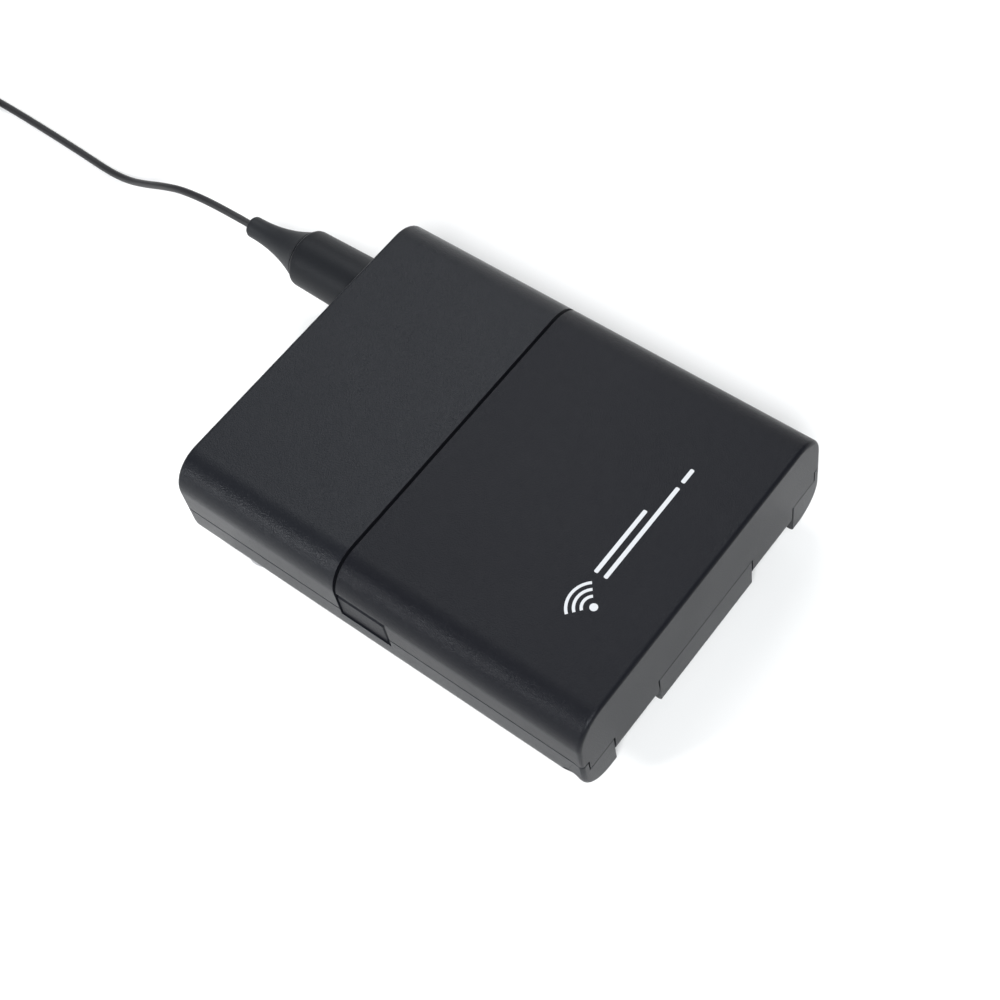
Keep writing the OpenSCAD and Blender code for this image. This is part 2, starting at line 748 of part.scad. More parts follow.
module belt_clip() {
  half = [for (p = lifted(smooth(clip_route, 4), wire_r - 0.02)) p + [0, clip_y, 0]];
  n = len(half);
  other = [for (i = [n - 2 : -1 : 0]) [-half[i][0], half[i][1], half[i][2]]];
  color([0.72, 0.72, 0.74]) union() {
    rod(concat(half, other), wire_r - 0.02, 12);
    for (x = [-32, ear_x0 + 0.2]) bar_x(x, x + 32 - ear_x0 - 0.2, clip_y, clip_z, wire_r);
  }
}

// ---------- plug ----------

tip_y = bush_y + 0.2 - 14;
sleeve_y = bush_y + 0.2;

module plug_tip() {
  color([0.8, 0.78, 0.7]) turned([
    [0, tip_y], [0.7, tip_y + 0.15], [1.7, tip_y + 1.7], [1.7, tip_y + 2.3],
    [1.25, tip_y + 2.9], [1.25, tip_y + 3.6], [1.7, tip_y + 4], [1.7, tip_y + 4.3], [0, tip_y + 4.3]]);
}

module plug_ring() {
  color([0.8, 0.78, 0.7]) bar_y(tip_y + 4.9, tip_y + 6.9, plug_x, plug_z, 1.75);
}

module plug_sleeve() {
  color([0.8, 0.78, 0.7]) bar_y(tip_y + 7.5, sleeve_y, plug_x, plug_z, 1.75);
}

module plug_insulators() {
  color([0.06, 0.06, 0.06]) {
    bar_y(tip_y + 4.31, tip_y + 4.89, plug_x, plug_z, 1.7);
    bar_y(tip_y + 6.91, tip_y + 7.49, plug_x, plug_z, 1.7);
  }
}

module plug_body() {
  color([0.5, 0.5, 0.51]) {
    bar_y(sleeve_y + 0.01, ring_y1 + 1.2, plug_x, plug_z, 3.4);
    bar_y(bush_y + 1, bush_y + 3, plug_x, plug_z, 4.4);
  }
}

module lock_ring() {
  color([0.17, 0.175, 0.185]) turned([
    [bush_r + 0.06, ring_y0], [6.1, ring_y0], [6.35, ring_y0 + 0.25], [6.05, ring_y1 - 1],
    [5.95, ring_y1 - 0.5], [5.7, ring_y1 - 0.15], [5.45, ring_y1], [3.45, ring_y1],
    [3.45, ring_y1 - 2.5], [4.7, ring_y1 - 2.5], [4.7, bush_y + 0.6], [bush_r + 0.06, bush_y + 0.6]]);
}

// concave flared boot, solid behind the plug body
module plug_boot() {
  steps = 14;
  y0 = ring_y1 + 0.3;
  len = boot_y1 - y0;
  flare = [for (k = [0 : steps]) let (t = k / steps)
    [2.25 + 3.05 * pow(1 - t, 2.2), lerp(y0, boot_y1 - 0.8, t)]];
  nose = [for (k = [1 : 4]) [1.45 + 0.8 * cos(22.5 * k), boot_y1 - 0.8 + 0.8 * sin(22.5 * k)]];
  color([0.15, 0.155, 0.165]) turned(concat(
    [[3.42, y0]], flare, nose, [[0, boot_y1], [0, ring_y1 + 1.22], [3.42, ring_y1 + 1.22]]));
}

// ---------- lead ----------

module mic_cord() {
  color([0.12, 0.12, 0.13]) rod(lifted(smooth(cord_route, 3), cord_r), cord_r, 8);
}

module mic_cord_tail() {
  color([0.12, 0.12, 0.13]) rod(lifted(smooth(tail_route, 3), cord_r), cord_r, 8);
}

// outer shape of the wound part of the lead
module mic_cord_coil() {
  wide = coil_cols * cord_d / 2 + 0.1;
  low = tie_t + 0.02;
  high = tie_t + coil_layers * cord_d + 0.3;
  color([0.12, 0.12, 0.13]) translate([coil_x, coil_y, 0]) rotate_extrude() polygon([
    [coil_turn_r - wide, low + 0.6], [coil_turn_r - wide + 0.6, low], [coil_turn_r + wide - 0.6, low],
    [coil_turn_r + wide, low + 0.6], [coil_turn_r + wide, high - 0.6], [coil_turn_r + wide - 0.6, high],
    [coil_turn_r - wide + 0.6, high], [coil_turn_r - wide, high - 0.6]]);
}

// band round the winding, on the side away from the case
module coil_tie() {
  in = coil_turn_r - coil_cols * cord_d / 2 - 0.12;
  out = coil_turn_r + coil_cols * cord_d / 2 + 0.2;
  top = tie_t + coil_layers * cord_d + 0.32;
  color([0.1, 0.1, 0.1]) translate([coil_x, coil_y, 0]) rotate(135) difference() {
    block([in - 0.5, -2.5, 0], [out + 0.5, 2.5, top + 0.5]);
    block([in, -3, tie_t], [out, 3, top]);
  }
}

// ---------- microphone ----------

// solid of revolution about the microphone axis; points are [radius, y]
module mic_turned(points) {
  translate([mic_x, 0, mic_z]) rotate([-90, 0, 0]) rotate_extrude() polygon(points);
}

module mic_strain_relief() {
  color([0.12, 0.12, 0.13]) mic_turned([
    [0, mic_y1 + 0.02], [1.9, mic_y1 + 0.02], [1.9, mic_y1 + 0.8], [1.5, mic_y1 + 1.4],
    [1.15, relief_y - 0.4], [1, relief_y], [0, relief_y]]);
}

module mic_housing() {
  color([0.13, 0.13, 0.14]) difference() {
    mic_turned([[0, mic_y0], [mic_r, mic_y0], [mic_r, mic_y1 - 1.2], [mic_r - 1, mic_y1], [0, mic_y1]]);
    bar_y(mic_y0 - 1, mic_y1 - 3, mic_x, mic_z, mic_r - 0.4);
  }
}

module mic_capsule() {
  color([0.7, 0.7, 0.7]) bar_y(mic_y0 + 0.6, mic_y1 - 3.1, mic_x, mic_z, mic_r - 0.5);
}

module mic_grille() {
  y0 = mic_y0 - 2.6;
  color([0.25, 0.25, 0.26]) mic_turned([
    [0, y0], [1.2, y0 + 0.15], [2.1, y0 + 0.7], [2.6, y0 + 1.5], [mic_r, mic_y0 - 0.02], [0, mic_y0 - 0.02]]);
}

// holder ring and the fixed half of the tie clip
module tie_clip_base() {
  color([0.14, 0.14, 0.15]) translate([mic_x, jaw_y, 0]) difference() {
    union() {
      bar_y(0, 4.5, 0, mic_z, mic_z);
      block([-5.2, -3, 0.4], [-3, 4.5, 5.6]);
      block([-5.2, -13, 0.4], [-4.3, 9, 5.6]);
      for (z = [0.4, 4.8]) block([-6.6, -1.6, z], [-4.4, 1.6, z + 0.8]);
    }
    bar_y(-4, 6, 0, mic_z, mic_r + 0.03);
    bar_z(0, 6, -6, 0, 0.45);
  }
}

// moving half, turning about the pin
module tie_clip_jaw() {
  color([0.14, 0.14, 0.15]) translate([mic_x, jaw_y, 0]) difference() {
    union() {
      block([-8.3, -13, 0.4], [-7.4, 9, 5.6]);
      block([-7.6, -1, 2.3], [-5.5, 1, 4.4]);
      block([-7.5, -13, 0.4], [-5.5, -11.8, 5.6]);
      for (i = [0 : 2]) block([-7.5, -10 + 1.8 * i, 0.6], [-5.9, -9.3 + 1.8 * i, 5.4]);
    }
    bar_z(0, 6, -6, 0, 0.46);
  }
}

module tie_clip_pin() {
  color([0.7, 0.7, 0.7]) bar_z(0.4, 5.6, mic_x - 6, jaw_y, 0.4);
}

// torsion spring round the pin
module tie_clip_spring() {
  route = [for (k = [0 : 20])
    [mic_x - 6 + 0.78 * cos(36 * k), jaw_y + 0.78 * sin(36 * k), 1.42 + 0.025 * k]];
  color([0.7, 0.7, 0.7]) rod(route, 0.15, 6);
}

rear_shell();
front_shell();
end_panel();
battery_tray();
control_deck();
aa_cell_1();
aa_cell_2();
cell_springs();
contact_link();
contact_pair();
hinge_pins();
main_board();
shield_can();
board_parts();
antenna();
supply_leaves();
jack_bush();
jack_nut();
jack_body();
jack_contacts();
mute_switch();
mute_slider();
power_switch();
power_button();
pair_switch();
pair_button();
status_led();
light_pipe();
charge_contacts();
case_screws();
board_screws();
rating_plate();
battery_cover();
cover_pad();
latch_left();
latch_right();
latch_springs();
belt_clip();
plug_tip();
plug_ring();
plug_sleeve();
plug_insulators();
plug_body();
lock_ring();
plug_boot();
mic_cord();
mic_cord_coil();
mic_cord_tail();
coil_tie();
mic_strain_relief();
mic_housing();
mic_grille();
mic_capsule();
tie_clip_base();
tie_clip_jaw();
tie_clip_pin();
tie_clip_spring();
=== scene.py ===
import json
import math
import bmesh
import bpy
from mathutils import Euler, Matrix, Vector


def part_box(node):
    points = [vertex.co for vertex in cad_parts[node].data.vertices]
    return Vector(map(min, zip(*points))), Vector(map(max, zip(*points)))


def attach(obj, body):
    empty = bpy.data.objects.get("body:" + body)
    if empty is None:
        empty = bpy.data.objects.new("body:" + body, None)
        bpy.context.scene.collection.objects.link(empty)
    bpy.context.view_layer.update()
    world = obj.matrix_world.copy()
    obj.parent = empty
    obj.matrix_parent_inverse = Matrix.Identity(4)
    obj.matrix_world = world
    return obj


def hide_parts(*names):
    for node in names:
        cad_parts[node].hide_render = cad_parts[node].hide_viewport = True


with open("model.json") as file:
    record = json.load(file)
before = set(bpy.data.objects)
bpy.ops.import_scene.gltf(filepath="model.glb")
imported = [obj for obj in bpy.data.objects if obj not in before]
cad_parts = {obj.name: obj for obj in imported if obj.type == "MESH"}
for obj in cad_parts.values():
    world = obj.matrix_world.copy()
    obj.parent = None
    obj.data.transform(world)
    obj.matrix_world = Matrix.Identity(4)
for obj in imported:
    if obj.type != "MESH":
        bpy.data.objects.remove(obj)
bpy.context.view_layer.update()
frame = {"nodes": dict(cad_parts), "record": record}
nodes = frame["nodes"]
scene = bpy.context.scene
scene.view_settings.view_transform = "Standard"

# ---------- camera: the photograph's angle ----------

CAMERA_AT = Vector((-0.11666, -0.13669, 0.29326))
CAMERA_TURN = Euler([math.radians(a) for a in (31.521, 7.047, -52.069)])
cam_data = bpy.data.cameras.new("camera")
cam_data.lens = 65.19
cam_data.sensor_width = 36.0
cam_data.clip_start = 0.01
cam = bpy.data.objects.new("camera", cam_data)
scene.collection.objects.link(cam)
cam.matrix_world = Matrix.LocRotScale(CAMERA_AT, CAMERA_TURN, None)
scene.camera = cam


# ---------- helpers ----------

def link(obj):
    scene.collection.objects.link(obj)
    return obj


def smooth(points, steps):
    """Catmull-Rom through the points, with that many steps between each pair."""
    pts = [Vector(p) for p in points]
    out = []
    for i in range(len(pts) - 1):
        a, b = pts[max(i - 1, 0)], pts[i]
        c, d = pts[i + 1], pts[min(i + 2, len(pts) - 1)]
        for k in range(steps):
            t = k / steps
            out.append(0.5 * (2 * b + (c - a) * t + (2 * a - 5 * b + 4 * c - d) * t * t
                              + (3 * b - a - 3 * c + d) * t ** 3))
    out.append(pts[-1])
    return out


def ease(t):
    t = min(max(t, 0.0), 1.0)
    return t * t * (3 - 2 * t)


# ---------- lead: the route is part.scad's, in mm ----------

CORD_D = 0.0016
CORD_MM = CORD_D * 1000
LAID = [
    (21.2, 79, 15.4), (21.2, 84, 15.4), (21.2, 92, 15), (21.3, 100, 13.3), (21.5, 107, 10.2),
    (21.8, 114, 6.4), (22.2, 121, 3), (22.6, 128, 1.2), (23.1, 136, 0.8), (23.5, 145, 0.8),
    (23.8, 154, 0.8), (24, 163, 0.8), (24, 172, 0.9), (24, 180, 1.1)]
TAIL = [
    (10, 194, 5.9), (6.5, 194, 5.9), (3, 193.9, 5.7), (-1, 193.4, 4.6), (-5.5, 192, 2.6),
    (-10, 189.4, 1.1), (-13.8, 185.6, 0.8), (-16.4, 181, 0.8), (-17.7, 176, 1.4),
    (-18, 170.5, 3.4), (-18, 167.5, 3.6), (-18, 164.5, 3.6)]
COIL = dict(x=10.0, y=180.0, turn_r=10.0, cols=6, layers=4, z0=1.1)
TURN_STEPS = 28  # points on one turn of the coil
STEP_AT = 0.84  # part of a turn after which the lead steps over to the next one
ROUTE_STEPS = 3  # points between two route points


def coil_points():
    """Winding in mm: in along each odd layer, out along each even one, a diameter apart."""
    inner = COIL["turn_r"] - (COIL["cols"] - 1) * CORD_MM / 2
    turns = []
    for layer in range(COIL["layers"]):
        cols = range(COIL["cols"])
        for c in (reversed(cols) if layer % 2 == 0 else cols):
            turns.append((inner + c * CORD_MM, COIL["z0"] + layer * CORD_MM))
    out = []
    last = (len(turns) - 1) * TURN_STEPS + TURN_STEPS // 4
    for i in range(1, last):
        turn, part = divmod(i / TURN_STEPS, 1.0)
        r, z = turns[int(turn)]
        if int(turn) + 1 < len(turns):
            next_r, next_z = turns[int(turn) + 1]
            k = ease((part - STEP_AT) / (1 - STEP_AT))
            r, z = r + (next_r - r) * k, z + (next_z - z) * k
        a = 2 * math.pi * part
        out.append(Vector((COIL["x"] + r * math.cos(a), COIL["y"] + r * math.sin(a), z)))
    return out


def lift(points):
    """Keep the lead's underside on the floor."""
    return [Vector((p.x, p.y, max(p.z, CORD_MM / 2))) for p in points]


route = lift(smooth(LAID, ROUTE_STEPS)) + coil_points() + lift(smooth(TAIL, ROUTE_STEPS))
curve = bpy.data.curves.new("lead", "CURVE")
curve.dimensions = "3D"
curve.bevel_depth = 1.0  # each point's radius carries the real size
curve.bevel_resolution = 5
curve.use_fill_caps = True
spline = curve.splines.new("POLY")
spline.points.add(len(route) - 1)
for point, p in zip(spline.points, route):
    point.co = (p.x / 1000, p.y / 1000, p.z / 1000, 1)
    point.radius = CORD_D / 2
spline.use_smooth = True
lead = link(bpy.data.objects.new("lead", curve))
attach(lead, "case")
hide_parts("mic_cord", "mic_cord_coil", "mic_cord_tail")


# ---------- materials ----------

def material(name, base, rough, metallic=0.0, **more):
    m = bpy.data.materials.new(name)
    m.use_nodes = True
    bsdf = m.node_tree.nodes["Principled BSDF"]
    bsdf.inputs["Base Color"].default_value = (*base, 1)
    bsdf.inputs["Roughness"].default_value = rough
    bsdf.inputs["Metallic"].default_value = metallic
    for key, value in more.items():
        bsdf.inputs[key.replace("_", " ")].default_value = value
    return m, m.node_tree, bsdf


def texture(tree, kind, scale, vector=None, **values):
    node = tree.nodes.new(kind)
    node.inputs["Scale"].default_value = scale
    for key, value in values.items():
        node.inputs[key].default_value = value
    if vector is None:
        vector = tree.nodes.new("ShaderNodeTexCoord").outputs["Object"]
    tree.links.new(vector, node.inputs["Vector"])
    return node


def bump_on(tree, bsdf, height, depth):
    """Relief of that depth in metres, on top of any relief the material has."""
    bump = tree.nodes.new("ShaderNodeBump")
    bump.inputs["Strength"].default_value = 1.0
    bump.inputs["Distance"].default_value = depth
    tree.links.new(height, bump.inputs["Height"])
    if bsdf.inputs["Normal"].is_linked:
        tree.links.new(bsdf.inputs["Normal"].links[0].from_socket, bump.inputs["Normal"])
    tree.links.new(bump.outputs["Normal"], bsdf.inputs["Normal"])


def spread_on(tree, socket, source, low, high):
    """The middle half of a noise, spread from low to high."""
    rng = tree.nodes.new("ShaderNodeMapRange")
    rng.inputs["From Min"].default_value = 0.25
    rng.inputs["From Max"].default_value = 0.75
    rng.inputs["To Min"].default_value = low
    rng.inputs["To Max"].default_value = high
    tree.links.new(source, rng.inputs["Value"])
    tree.links.new(rng.outputs["Result"], socket)


def mixed_colour(tree, bsdf, factor, low, high):
    """Base colour from low to high along the factor."""
    mix = tree.nodes.new("ShaderNodeMix")
    mix.data_type = "RGBA"
    mix.inputs["A"].default_value = (*low, 1)
    mix.inputs["B"].default_value = (*high, 1)
    tree.links.new(factor, mix.inputs["Factor"])
    tree.links.new(mix.outputs["Result"], bsdf.inputs["Base Color"])


def ramp_colour(tree, bsdf, factor, low, high):
    """Base colour along the factor, between two (position, colour) stops."""
    ramp = tree.nodes.new("ShaderNodeValToRGB")
    for stop, (position, colour) in zip(ramp.color_ramp.elements, (low, high)):
        stop.position = position
        stop.color = (*colour, 1)
    tree.links.new(factor, ramp.inputs["Fac"])
    tree.links.new(ramp.outputs["Color"], bsdf.inputs["Base Color"])


PATCH_SCALE = 90  # patches about 11 mm across


def moulded(name, base, rough, scale, depth, vary=0.02, shade=0.12, **more):
    """Moulded plastic: fine grain, with patches that are a little smoother."""
    m, tree, bsdf = material(name, base, rough, **more)
    grain = texture(tree, "ShaderNodeTexNoise", scale, Detail=2.0, Roughness=0.6)
    bump_on(tree, bsdf, grain.outputs["Fac"], depth)
    patches = texture(tree, "ShaderNodeTexNoise", PATCH_SCALE, Detail=2.0)
    spread_on(tree, bsdf.inputs["Roughness"], patches.outputs["Fac"], rough - vary, rough + vary)
    mixed_colour(tree, bsdf, grain.outputs["Fac"],
                 [c * (1 - shade) for c in base], [c * (1 + shade) for c in base])
    return m


LINE_DEPTH = 0.000006
TARNISH_SCALE = 160
TARNISH_SHADE = 0.82


def metal(name, base, rough, scale=500, stretch=(1, 1, 14)):
    """Drawn or plated metal: fine lines along one axis and a faint uneven tarnish."""
    m, tree, bsdf = material(name, base, rough, 1.0)
    coord = tree.nodes.new("ShaderNodeTexCoord")
    mapping = tree.nodes.new("ShaderNodeMapping")
    mapping.inputs["Scale"].default_value = stretch
    tree.links.new(coord.outputs["Object"], mapping.inputs["Vector"])
    lines = texture(tree, "ShaderNodeTexNoise", scale, mapping.outputs["Vector"], Detail=3.0)
    bump_on(tree, bsdf, lines.outputs["Fac"], LINE_DEPTH)
    spread_on(tree, bsdf.inputs["Roughness"], lines.outputs["Fac"], rough - 0.06, rough + 0.1)
    tarnish = texture(tree, "ShaderNodeTexNoise", TARNISH_SCALE, Detail=4.0)
    mixed_colour(tree, bsdf, tarnish.outputs["Fac"], [c * TARNISH_SHADE for c in base], base)
    return m


TINT = dict(Specular_Tint=(0.93, 0.965, 1.0, 1))
# name, base colour, roughness, grain scale per metre, grain depth in metres
shell_mat = moulded("shell_black", (0.0100, 0.0108, 0.0138), 0.30, 4200, 0.00008,
                    Specular_IOR_Level=0.16, **TINT)
cover_mat = moulded("cover_black", (0.0088, 0.0092, 0.0120), 0.30, 4200, 0.00008,
                    Specular_IOR_Level=0.115, **TINT)
panel_mat = moulded("panel_black", (0.009, 0.009, 0.010), 0.55, 2600, 0.00006)
button_mat = moulded("button_black", (0.012, 0.013, 0.016), 0.45, 2600, 0.00004)
inner_mat = moulded("inner_black", (0.022, 0.022, 0.024), 0.5, 1800, 0.00003)
part_mat = moulded("part_black", (0.02, 0.02, 0.022), 0.42, 1500, 0.00002)
# latch: base colour darker than the shell's and a low specular level, painted shade standing in
# for the shadow in the latch's recess
latch_painted_shade_mat = moulded("latch_black_painted_shade", (0.0080, 0.0086, 0.0115), 0.34, 4200, 0.00006,
                    Specular_IOR_Level=0.06, **TINT)
plug_mat = moulded("plug_black", (0.0110, 0.0118, 0.0140), 0.45, 3000, 0.00003,
                   Specular_IOR_Level=0.16, **TINT)
boot_mat = moulded("boot_rubber", (0.0150, 0.0160, 0.0185), 0.5, 3000, 0.00003,
                   Specular_IOR_Level=0.25, **TINT)
cord_mat = moulded("cord_black", (0.012, 0.012, 0.014), 0.5, 1500, 0.00001)
clear_mat = moulded("clear", (0.7, 0.75, 0.75), 0.12, 500, 0.00001, 0.04)
label_mat = moulded("label_grey", (0.42, 0.43, 0.44), 0.5, 900, 0.00001)
print_mat = moulded("print_white", (0.56, 0.575, 0.60), 0.5, 2600, 0.00002, 0.05, 0.05)
nickel_mat = metal("nickel", (0.62, 0.6, 0.56), 0.26)
gold_mat = metal("gold_plate", (0.83, 0.62, 0.28), 0.24)
steel_mat = metal("steel", (0.58, 0.58, 0.6), 0.3)
black_steel_mat = metal("black_steel", (0.05, 0.05, 0.052), 0.4)
can_mat = metal("can_metal", (0.66, 0.67, 0.68), 0.3, 300, (1, 8, 1))


def board_material():
    """Solder mask over copper runs, with a fine glass weave under it."""
    m, tree, bsdf = material("board_green", (0.008, 0.075, 0.035), 0.3)
    coord = tree.nodes.new("ShaderNodeTexCoord").outputs["Object"]
    runs = texture(tree, "ShaderNodeTexBrick", 420, coord)
    runs.inputs["Color1"].default_value = (0.008, 0.085, 0.04, 1)
    runs.inputs["Color2"].default_value = (0.006, 0.065, 0.03, 1)
    runs.inputs["Mortar"].default_value = (0.02, 0.15, 0.07, 1)
    runs.inputs["Mortar Size"].default_value = 0.03
    tree.links.new(runs.outputs["Color"], bsdf.inputs["Base Color"])
    weave = texture(tree, "ShaderNodeTexNoise", 2200, coord, Detail=1.0)
    bump_on(tree, bsdf, runs.outputs["Fac"], 0.00003)
    bump_on(tree, bsdf, weave.outputs["Fac"], 0.000006)
    spread_on(tree, bsdf.inputs["Roughness"], weave.outputs["Fac"], 0.24, 0.36)
    return m


CELL_HALF = 0.0262  # metres along X that the jacket's ramp spans
JACKET = (0.02, 0.022, 0.025)
COPPER = (0.42, 0.19, 0.06)
BARE_END = (0.6, 0.58, 0.54)


def cell_material():
    """Printed film jacket with a copper band towards each end, and bare metal ends."""
    m, tree, bsdf = material("cell_jacket", JACKET, 0.22)
    coord = tree.nodes.new("ShaderNodeTexCoord")
    split = tree.nodes.new("ShaderNodeSeparateXYZ")
    tree.links.new(coord.outputs["Object"], split.inputs["Vector"])
    away = tree.nodes.new("ShaderNodeMath")
    away.operation = "ABSOLUTE"
    tree.links.new(split.outputs["X"], away.inputs[0])
    ramp = tree.nodes.new("ShaderNodeValToRGB")
    ramp.color_ramp.interpolation = "CONSTANT"
    stops = ramp.color_ramp.elements
    stops[0].color = (*JACKET, 1)
    stops[1].position, stops[1].color = 0.42, (*COPPER, 1)
    for position, colour in ((0.78, JACKET), (0.962, BARE_END)):
        stops.new(position).color = (*colour, 1)
    scaled = tree.nodes.new("ShaderNodeMath")
    scaled.operation = "MULTIPLY"
    scaled.inputs[1].default_value = 1 / CELL_HALF
    tree.links.new(away.outputs[0], scaled.inputs[0])
    tree.links.new(scaled.outputs[0], ramp.inputs["Fac"])
    tree.links.new(ramp.outputs["Color"], bsdf.inputs["Base Color"])
    film = texture(tree, "ShaderNodeTexNoise", 500, Detail=3.0)
    bump_on(tree, bsdf, film.outputs["Fac"], 0.00001)
    spread_on(tree, bsdf.inputs["Roughness"], film.outputs["Fac"], 0.16, 0.3)
    return m


def foam_material():
    """Open-cell foam: pores of two sizes, with painted shade darkening the colour in the pores."""
    m, tree, bsdf = material("foam", (0.022, 0.022, 0.023), 0.95, Specular_IOR_Level=0.2)
    pores = texture(tree, "ShaderNodeTexVoronoi", 2100)
    bump_on(tree, bsdf, pores.outputs["Distance"], 0.00025)
    small = texture(tree, "ShaderNodeTexNoise", 4200, Detail=2.0)
    bump_on(tree, bsdf, small.outputs["Fac"], 0.00008)
    # painted shade: the base colour darkens towards the middle of each pore
    ramp_colour(tree, bsdf, pores.outputs["Distance"],
                (0.0, (0.006, 0.006, 0.0065)), (1.0, (0.035, 0.035, 0.037)))
    return m


def mesh_material():
    """Fine woven metal mesh, painted black; its holes are near-black painted shade."""
    m, tree, bsdf = material("mesh_grey", (0.03, 0.03, 0.032), 0.4, 0.6)
    holes = texture(tree, "ShaderNodeTexVoronoi", 2300, Randomness=0.15)
    bump_on(tree, bsdf, holes.outputs["Distance"], 0.0003)
    # painted shade: near black where the holes are, lighter on the wire between them
    ramp_colour(tree, bsdf, holes.outputs["Distance"],
                (0.2, (0.002, 0.002, 0.002)), (0.42, (0.09, 0.09, 0.095)))
    return m


def strap_material():
    """Hook-and-loop tape: short tangled pile."""
    m, tree, bsdf = material("strap_pile", (0.014, 0.014, 0.015), 0.9, Sheen_Weight=0.4)
    tufts = texture(tree, "ShaderNodeTexVoronoi", 2600)
    bump_on(tree, bsdf, tufts.outputs["Distance"], 0.0002)
    fuzz = texture(tree, "ShaderNodeTexNoise", 6000, Detail=2.0)
    bump_on(tree, bsdf, fuzz.outputs["Fac"], 0.00008)
    return m


by_slot = {
    "shell_black": shell_mat, "cover_black": cover_mat, "panel_black": panel_mat,
    "button_black": button_mat, "inner_black": inner_mat, "cell_jacket": cell_material(),
    "nickel": nickel_mat, "gold_plate": gold_mat, "steel": steel_mat,
    "black_steel": black_steel_mat, "board_green": board_material(), "part_black": part_mat,
    "can_metal": can_mat, "clear": clear_mat, "label_grey": label_mat, "foam": foam_material(),
    "plug_black": plug_mat, "boot_rubber": boot_mat, "cord_black": cord_mat,
    "mesh_grey": mesh_material()}
# the latches take the darker latch material, painted shade for their recess
own_look = {"latch_left": latch_painted_shade_mat, "latch_right": latch_painted_shade_mat}
lead.data.materials.append(cord_mat)
for sub in frame["record"]["subparts"]:
    materials = nodes[sub["node"]].data.materials
    materials.clear()
    materials.append(own_look.get(sub["node"], by_slot[sub["material_slot"]]))


# ---------- edges of the CAD pieces ----------

WELD_WITHIN = 1e-6
SHARP_FROM = math.radians(28)


def soften(name, width):
    """A small moulded radius on the sharp edges, without moving any CAD vertex."""
    obj = nodes[name]
    obj.data.shade_smooth()
    weld = obj.modifiers.new("weld", "WELD")
    weld.merge_threshold = WELD_WITHIN
    bevel = obj.modifiers.new("bevel", "BEVEL")
    bevel.width = width
    bevel.segments = 2
    bevel.limit_method = "ANGLE"
    bevel.angle_limit = SHARP_FROM
    bevel.miter_outer = "MITER_ARC"
    normals = obj.modifiers.new("normals", "WEIGHTED_NORMAL")
    normals.weight = 50
    normals.keep_sharp = False


FINE_EDGE = 0.00004
WIDTH = {
    "front_shell": 0.00014, "rear_shell": 0.00014, "battery_cover": 0.00014,
    "latch_left": 0.00012, "latch_right": 0.00012, "end_panel": 0.00012, "lock_ring": 0.00015,
    "battery_tray": 0.0002, "control_deck": 0.0002, "mute_slider": 0.0001, "power_button": 0.00012,
    "pair_button": 0.00015, "shield_can": 0.0002, "jack_nut": 0.0001, "jack_body": 0.0002,
    "mute_switch": 0.0002, "power_switch": 0.0002, "pair_switch": 0.0002, "tie_clip_base": 0.0001,
    "tie_clip_jaw": 0.0001, "board_parts": 0.0001, "hinge_pins": 0.0001, "main_board": 0.0001,
    "case_screws": 0.00008, "board_screws": 0.00008, "charge_contacts": 0.0001}
for name in sorted(nodes):
    soften(name, WIDTH.get(name, FINE_EDGE))


# ---------- print and small pieces ----------

def solid(name, verts, faces, mat, body):
    """A closed mesh piece on a body."""
    mesh = bpy.data.meshes.new(name)
    mesh.from_pydata([tuple(v) for v in verts], [], faces)
    bm = bmesh.new()
    bm.from_mesh(mesh)
    bmesh.ops.recalc_face_normals(bm, faces=bm.faces)
    bm.to_mesh(mesh)
    bm.free()
    obj = link(bpy.data.objects.new(name, mesh))
    obj.data.materials.append(mat)
    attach(obj, body)
    return obj


def prisms(name, outlines, z0, z1, mat, body):
    """Flat inked shapes: outlines in mm, made thin closed prisms between two heights in metres."""
    verts, faces = [], []
    for outline in outlines:
        n, base = len(outline), len(verts)
        verts += [(x / 1000, y / 1000, z0) for x, y in outline]
        verts += [(x / 1000, y / 1000, z1) for x, y in outline]
        faces.append([base + i for i in reversed(range(n))])
        faces.append([base + n + i for i in range(n)])
        faces += [[base + i, base + (i + 1) % n, base + n + (i + 1) % n, base + n + i]
                  for i in range(n)]
    return solid(name, verts, faces, mat, body)


def bar(x0, y0, x1, y1, r=0.25, n=5):
    """Outline of a bar with rounded corners of n steps."""
    out = []
    for cx, cy, start in ((x1 - r, y1 - r, 0), (x0 + r, y1 - r, 90), (x0 + r, y0 + r, 180),
                          (x1 - r, y0 + r, 270)):
        out += [(cx + r * math.cos(math.radians(start + 90 * k / n)),
                 cy + r * math.sin(math.radians(start + 90 * k / n))) for k in range(n + 1)]
    return out


def arc_band(cx, cy, r, w, a0, a1, n=20):
    """Outline of a stretch of ring, w wide."""
    turn = [math.radians(a0 + (a1 - a0) * k / n) for k in range(n + 1)]
    outer = [(cx + (r + w / 2) * math.cos(a), cy + (r + w / 2) * math.sin(a)) for a in turn]
    inner = [(cx + (r - w / 2) * math.cos(a), cy + (r - w / 2) * math.sin(a)) for a in turn]
    return outer + inner[::-1]


def disc(cx, cy, r, step=20):
    """Outline of a dot."""
    turn = [math.radians(a) for a in range(0, 360, step)]
    return [(cx + r * math.cos(a), cy + r * math.sin(a)) for a in turn]


INK = 0.00002
SUNK = 0.00001  # how far the ink reaches into the surface under it
face_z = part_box("battery_cover")[1].z
ICON = (-14.9, -35.6)
marks = [arc_band(*ICON, r, 0.55, 40, 140) for r in (2.1, 3.4, 4.7)]
marks.append(disc(*ICON, 0.75))
marks += [bar(-9.4, -34.3, 12.0, -33.5), bar(13.2, -34.3, 16.4, -33.5),
          bar(-9.4, -32.3, 5.2, -31.5)]
prisms("cover_print", marks, face_z - SUNK, face_z + INK, print_mat, "cover")

